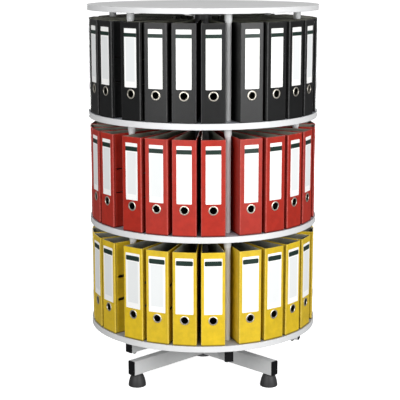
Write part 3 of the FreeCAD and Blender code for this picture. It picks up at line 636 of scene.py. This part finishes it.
def lever_mechanism():
    """Nickelled plate on the rear cover, with rivets, two arches, the wire lever and its roller."""
    bm = bmesh.new()
    middle = -PLATE_DEPTH / 2
    plate = bmesh.ops.create_cube(bm, size=1.0)["verts"]
    bmesh.ops.scale(bm, vec=(PLATE_DEPTH, PLATE_THICKNESS, PLATE_HEIGHT), verts=plate)
    bmesh.ops.translate(bm, vec=(middle, PLATE_THICKNESS / 2, 0), verts=plate)
    bmesh.ops.bevel(bm, geom=bm.edges[:], offset=RIM_SOFTNESS, affect="EDGES", segments=1, profile=0.5,
                    material=-1)
    for side in (-1, 1):
        level = side * ARCH_PITCH / 2
        ring = bmesh.ops.create_circle(bm, segments=WIRE_SIDES, radius=WIRE_RADIUS,
                                       matrix=Matrix.Rotation(math.pi / 2, 4, "X"))["verts"]
        bmesh.ops.translate(bm, vec=(middle + ARCH_RADIUS, ARCH_FOOT, level), verts=ring)
        rim = list({edge for vert in ring for edge in vert.link_edges})
        bmesh.ops.spin(bm, geom=ring + rim, cent=(middle, ARCH_FOOT, level), axis=(0, 0, 1), angle=math.pi,
                       steps=ARCH_STEPS, use_merge=False)
        for x in (RIVET_IN - PLATE_DEPTH, -RIVET_IN):
            place = (x, PLATE_THICKNESS + RIVET_HEIGHT / 2, side * (PLATE_HEIGHT / 2 - RIVET_DOWN))
            add_rod(bm, place, "X", -math.pi / 2, RIVET_FOOT, RIVET_HEAD, RIVET_HEIGHT, RIVET_SIDES)
    grip = [(middle + beside, GRIP_LIFT, up) for beside, up in GRIP]
    grip += [(middle - beside, GRIP_LIFT, up) for beside, up in reversed(GRIP)]
    add_wire(bm, [Vector(point) for point in grip], GRIP_RADIUS)
    place = (middle, ROLLER_LIFT, ROLLER_LEVEL)
    add_rod(bm, place, "Y", math.pi / 2, ROLLER_RADIUS, ROLLER_RADIUS, ROLLER_LENGTH, ROLLER_SIDES)
    outward(bm)
    # Onto the rear cover's inner face, turned as the cover slopes
    inner = -HALF_SPINE + SOLID_BOARD / math.cos(COVER_SLOPE) + LEVER_INSET * math.tan(COVER_SLOPE)
    place = Matrix.Translation((COVER_FRONT[0] + HINGE_GAP - LEVER_INSET, inner, FILE_HEIGHT / 2))
    bmesh.ops.transform(bm, matrix=place @ Matrix.Rotation(-COVER_SLOPE, 4, "Z"), verts=bm.verts[:])
    return to_mesh(bm, "lever_mechanism")


# ---- The glides ----

def bell_glide(corner):
    """One glide: a bell with a narrow neck, round shoulders and a blind hole for its stem."""
    low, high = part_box(f"glide_{corner}")
    stem_low, stem_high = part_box(f"glide_stem_{corner}")
    foot, height = (high.x - low.x) / 2, high.z - low.z
    bore, hole_foot = (stem_high.x - stem_low.x) / 2 + STEM_GAP, stem_low.z - STEM_GAP - low.z
    profile = [(0, 0), (foot - GLIDE_LIP, 0)]
    for step in range(GLIDE_STEPS + 1):
        level = step / GLIDE_STEPS
        radius = GLIDE_NECK + (foot - GLIDE_NECK) * (1 - level ** GLIDE_SHOULDER) ** GLIDE_WAIST
        profile.append((radius, GLIDE_LIP + (height - GLIDE_LIP) * level))
    profile += [(bore, height), (bore, hole_foot), (0, hole_foot)]
    bm = bmesh.new()
    verts = [bm.verts.new((radius, 0, level)) for radius, level in profile]
    edges = [bm.edges.new(pair) for pair in zip(verts, verts[1:])]
    bmesh.ops.spin(bm, geom=verts + edges, cent=(0, 0, 0), axis=(0, 0, 1), angle=math.tau,
                   steps=GLIDE_SIDES, use_merge=True)
    bmesh.ops.remove_doubles(bm, verts=bm.verts[:], dist=HAIR)
    outward(bm)
    centre = (low + high) / 2
    bmesh.ops.translate(bm, vec=(centre.x, centre.y, low.z), verts=bm.verts[:])
    return to_mesh(bm, "bell")


def glides():
    for corner in ("front_left", "front_right", "back_left", "back_right"):
        name = f"glide_{corner}"
        show(f"{name}_bell", bell_glide(corner), name, [FINISHES["glide_black"]], [name])


# ---- The files in their places ----

def free_turn(tier):
    """The direction of the tier's free file is the axis that it slides along."""
    axis = next(joint["axis"] for joint in frame["joints"] if joint["name"] == f"pull_{tier}")
    return math.atan2(axis[1], axis[0])


def fixed_turns(tier):
    """The directions of the tier's other files, which stay put."""
    turns = [FIRST_POST + SECTOR_TURN * (sector + 0.5) + FILE_STEP * (spot - (FILES_PER_SECTOR - 1) / 2)
             for sector in range(SECTORS) for spot in range(FILES_PER_SECTOR)]
    return [turn for turn in turns if math.cos(turn - free_turn(tier)) < math.cos(FILE_STEP / 2)]


def laid_out(masters, places, shades=None):
    """One mesh of copies of each tier's master, each at a (tier, turn, material number)."""
    bm = bmesh.new()
    tone = bm.verts.layers.float.new(TONE)
    for tier, turn, material in places:
        old_verts, old_faces = len(bm.verts), len(bm.faces)
        bm.from_mesh(masters[tier])
        bm.verts.ensure_lookup_table()
        bm.faces.ensure_lookup_table()
        new = bm.verts[old_verts:]
        place = Matrix.Translation((0, 0, FILE_FOOT[tier])) @ Matrix.Rotation(turn, 4, "Z")
        bmesh.ops.transform(bm, matrix=place, verts=new)
        shade = TONE_MIDDLE + (shades.uniform(-TONE_SPREAD, TONE_SPREAD) if shades else 0.0)
        for vert in new:
            vert[tone] = shade
        for face in bm.faces[old_faces:]:
            face.material_index += material
    return to_mesh(bm, "copies")


def file_sets():
    """The files that stay on the column, as one piece a kind, and each tier's free file."""
    masters = {"case": {tier: file_case(SLOT_RADIUS[tier]) for tier in TIERS},
               "label": {tier: spine_label(LABEL_WIDTH[tier]) for tier in TIERS},
               "finger_ring": dict.fromkeys(TIERS, finger_ring()),
               "lever_mechanism": dict.fromkeys(TIERS, lever_mechanism())}
    fittings = (("finger_ring", "finger_ring_metal", [FINISHES["finger_ring_metal"]]),
                ("label", "label_paper", [LABELS[tier] for tier in TIERS]),
                ("lever_mechanism", "lever_steel", [FINISHES["lever_steel"]]))
    shades = random.Random(TONE_SEED)
    everywhere = []
    for number, tier in enumerate(TIERS):
        colour = f"file_{PAPER[tier]}"
        fixed = [(tier, turn, 0) for turn in fixed_turns(tier)]
        everywhere += [(tier, turn, number) for tier, turn, _ in fixed]
        show(f"file_cases_{tier}", laid_out(masters["case"], fixed, shades), "column",
             [FINISHES[colour], LINING], [f"file_spines_{tier}", f"file_covers_{tier}"])
        free = [(tier, free_turn(tier), 0)]
        name = f"pull_file_{tier}"
        show(f"{name}_case", laid_out(masters["case"], free, shades), name,
             [FINISHES[colour], LINING], [f"{name}_spine", f"{name}_covers"])
        for part, slot, materials in fittings:
            show(f"{name}_{part}_piece", laid_out(masters[part], free), name,
                 [materials[number % len(materials)]], [f"{name}_{part}"])
    for part, slot, materials in fittings:
        places = [(tier, turn, number % len(materials)) for tier, turn, number in everywhere]
        show(f"file_{part}s_set", laid_out(masters[part], places), "column", materials,
             [f"file_{part}s"])


def dress_frame():
    """Gives every CAD node that stays its finish, and the nodes between the files a darker one as painted shade.
    """
    for part in frame["record"]["subparts"]:
        # Painted shade: a node between the files takes a darker finish than its slot's
        finish_name = PAINTED_SHADE_NODES.get(part["node"], part["material_slot"])
        for slot in NODES[part["node"]].material_slots:
            slot.material = FINISHES.get(finish_name, slot.material)


# ---- Stage, light and camera ----

def stage():
    """A floor out to the horizon. The camera sees it lit to white; the object gets its plain light."""
    bm = bmesh.new()
    bmesh.ops.create_grid(bm, x_segments=1, y_segments=1, size=FLOOR_SIZE)
    floor = bpy.data.objects.new("floor", to_mesh(bm, "floor"))
    bpy.context.scene.collection.objects.link(floor)
    material = bpy.data.materials.new("floor_paint")
    material.use_nodes = True
    tree = material.node_tree
    tree.nodes.clear()
    speckle = mix(tree, noise(tree, 3, 3), (0.78, 0.78, 0.78, 1), (0.82, 0.82, 0.82, 1))
    seen = node(tree, "LightPath").outputs["Is Camera Ray"]
    tint = mix(tree, seen, opaque((FLOOR_BOUNCE,) * 3), speckle)
    paint = node(tree, "BsdfDiffuse", {"Color": tint}).outputs[0]
    lift = node(tree, "Emission", {"Strength": times(tree, seen, FLOOR_LIFT)}).outputs[0]
    both = node(tree, "AddShader", {0: paint, 1: lift}).outputs[0]
    node(tree, "OutputMaterial", {"Surface": both})
    floor.data.materials.append(material)


def light():
    """Two tall soft boxes in front, a low one behind, and a pale wall and ceiling behind and above."""
    world = bpy.data.worlds.new("studio")
    bpy.context.scene.world = world
    world.use_nodes = True
    tree = world.node_tree
    tree.nodes.clear()
    seen = node(tree, "LightPath").outputs["Is Camera Ray"]
    facing = node(tree, "SeparateXYZ", {0: node(tree, "TexCoord").outputs["Generated"]}).outputs
    wall = ramp(tree, facing["Y"], *WALL_FADE, FILL, WALL)
    ceiling = ramp(tree, facing["Z"], *CEILING_FADE, FILL, CEILING)
    strength = calc(tree, "MAXIMUM", seen, calc(tree, "MAXIMUM", wall, ceiling))
    sky = node(tree, "Background", {"Color": (1, 1, 1, 1), "Strength": strength}).outputs[0]
    node(tree, "OutputWorld", {"Surface": sky})
    for name, azimuth, level, width, height, power in SOFT_BOXES:
        lamp = bpy.data.lights.new(name, "AREA")
        lamp.shape = "RECTANGLE"
        lamp.size, lamp.size_y = width, height
        lamp.energy = power
        box = bpy.data.objects.new(name, lamp)
        turn = math.radians(azimuth)
        box.location = (SOFT_BOX_AWAY * math.sin(turn), -SOFT_BOX_AWAY * math.cos(turn), level)
        box.rotation_euler = (math.pi / 2, 0, turn)
        box.visible_camera = False
        bpy.context.scene.collection.objects.link(box)


def camera():
    data = bpy.data.cameras.new("camera")
    data.sensor_fit = "HORIZONTAL"
    data.sensor_width = SENSOR
    data.lens = LENS
    data.shift_x = SIDE_SHIFT
    data.clip_end = FAR_CLIP
    eye = bpy.data.objects.new("camera", data)
    eye.location = EYE
    eye.rotation_euler = (math.pi / 2 + PITCH, 0, 0)
    bpy.context.scene.collection.objects.link(eye)
    bpy.context.scene.camera = eye


camera()
light()
stage()
file_sets()
glides()
dress_frame()
bpy.context.scene.view_settings.view_transform = "Standard"
bpy.context.scene.view_settings.look = "None"
